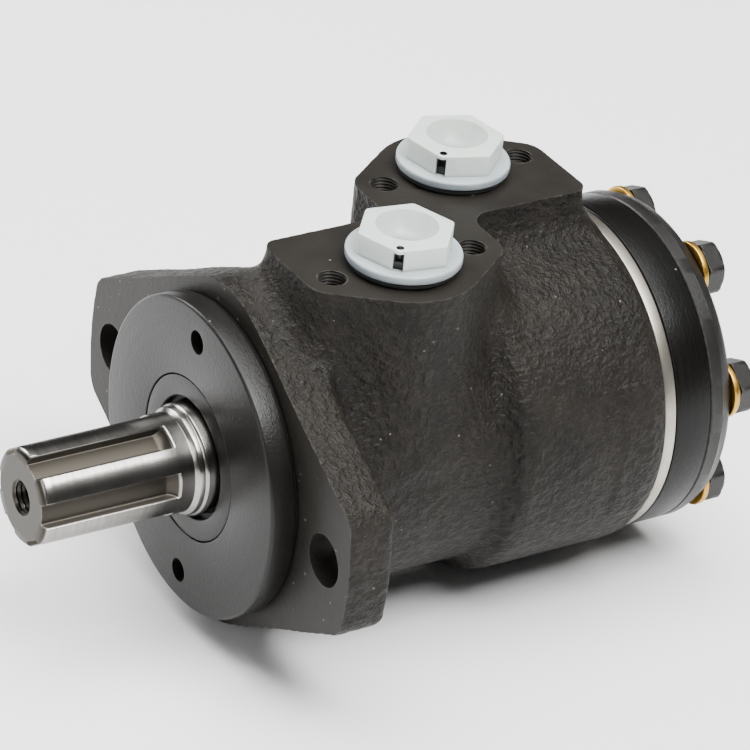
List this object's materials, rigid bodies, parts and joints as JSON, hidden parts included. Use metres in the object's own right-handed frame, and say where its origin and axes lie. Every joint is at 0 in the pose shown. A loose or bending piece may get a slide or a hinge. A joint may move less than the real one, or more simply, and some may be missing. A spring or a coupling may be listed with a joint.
{
  "type": "hydraulic motor",
  "caption": "Orbital hydraulic motor: cast housing with two-bolt flange, splined output shaft, stepped port block with plugged ports, bolted gear stack.",
  "frame": {"origin": "on the shaft axis, in the plane of the flange's mounting face", "axes": "+X along the shaft axis towards the end cover (the splined end points to -X), +Z towards the ports, +Y across the flange towards the drain plug"},
  "size_m": [0.1887, 0.1296, 0.1118],
  "materials": {
    "cast_iron": "dark phosphated casting with machined faces",
    "cover_steel": "turned and phosphated, satin",
    "ground_steel": "ground bright steel",
    "plate_steel": "ground bright rim",
    "gear_ring_steel": "black oxide, satin",
    "bolt_steel": "black oxide",
    "washer_brass": "satin, brass coloured",
    "seal_rubber": "matte black",
    "plug_plastic": "milky white polyethylene"
  },
  "bodies": {
    "motor_case": {"housing": "cast_iron", "front_cover": "cover_steel", "seal_retainer": "cover_steel", "dust_seal": "seal_rubber", "shaft_seal": "seal_rubber", "cover_o_ring": "seal_rubber", "rear_o_ring": "seal_rubber", "plate_o_ring": "seal_rubber", "end_o_ring": "seal_rubber", "thrust_race": "ground_steel", "thrust_cage": "ground_steel", "distributor_plate": "plate_steel", "gear_ring": "gear_ring_steel", "end_cover": "gear_ring_steel", "drain_plug": "bolt_steel", "drain_washer": "washer_brass", "bolt_1": "bolt_steel", "bolt_2": "bolt_steel", "bolt_3": "bolt_steel", "bolt_4": "bolt_steel", "bolt_5": "bolt_steel", "bolt_6": "bolt_steel", "bolt_7": "bolt_steel", "washer_1": "washer_brass", "washer_2": "washer_brass", "washer_3": "washer_brass", "washer_4": "washer_brass", "washer_5": "washer_brass", "washer_6": "washer_brass", "washer_7": "washer_brass"},
    "output_shaft": {"output_shaft": "ground_steel"},
    "cardan_spacer": {"cardan_spacer": "ground_steel"},
    "rotor": {"rotor": "ground_steel"},
    "cardan_shaft": {"cardan_shaft": "ground_steel"},
    "plug_seal_front": {"plug_seal_front": "seal_rubber"},
    "port_plug_front": {"port_plug_front": "plug_plastic"},
    "plug_seal_rear": {"plug_seal_rear": "seal_rubber"},
    "port_plug_rear": {"port_plug_rear": "plug_plastic"}
  },
  "joints": [
    {"name": "shaft_spin", "type": "hinge", "parent": "motor_case", "child": "output_shaft", "pos_m": [0, 0, 0], "axis": [1, 0, 0], "continuous": true},
    {"name": "rotor_orbit", "type": "hinge", "parent": "motor_case", "child": "cardan_spacer", "pos_m": [0, 0, 0], "axis": [1, 0, 0], "continuous": true},
    {"name": "rotor_spin", "type": "hinge", "parent": "cardan_spacer", "child": "rotor", "pos_m": [0.1147, 0, -0.003], "axis": [1, 0, 0], "continuous": true},
    {"name": "cardan_spin", "type": "hinge", "parent": "cardan_spacer", "child": "cardan_shaft", "pos_m": [0.057, 0, 0], "axis": [0.9986, 0, -0.0535], "continuous": true},
    {"name": "front_plug_lift", "type": "slide", "parent": "motor_case", "child": "plug_seal_front", "axis": [0, 0, 1], "range_m": [0, 0.0125]},
    {"name": "front_plug_turn", "type": "hinge", "parent": "plug_seal_front", "child": "port_plug_front", "pos_m": [0.03782, -0.0179, 0.0553], "axis": [0, 0, 1], "range_deg": [0, 2450]},
    {"name": "rear_plug_lift", "type": "slide", "parent": "motor_case", "child": "plug_seal_rear", "axis": [0, 0, 1], "range_m": [0, 0.0125]},
    {"name": "rear_plug_turn", "type": "hinge", "parent": "plug_seal_rear", "child": "port_plug_rear", "pos_m": [0.07438, 0.0179, 0.0553], "axis": [0, 0, 1], "range_deg": [0, 2450]}
  ],
  "couplings": [
    {"joint": "rotor_orbit", "follows": "shaft_spin", "ratio": -6},
    {"joint": "rotor_spin", "follows": "shaft_spin", "ratio": 7},
    {"joint": "cardan_spin", "follows": "shaft_spin", "ratio": 7},
    {"joint": "front_plug_lift", "follows": "front_plug_turn", "m_per_rad": 0.0002887},
    {"joint": "rear_plug_lift", "follows": "rear_plug_turn", "m_per_rad": 0.0002887}
  ]
}
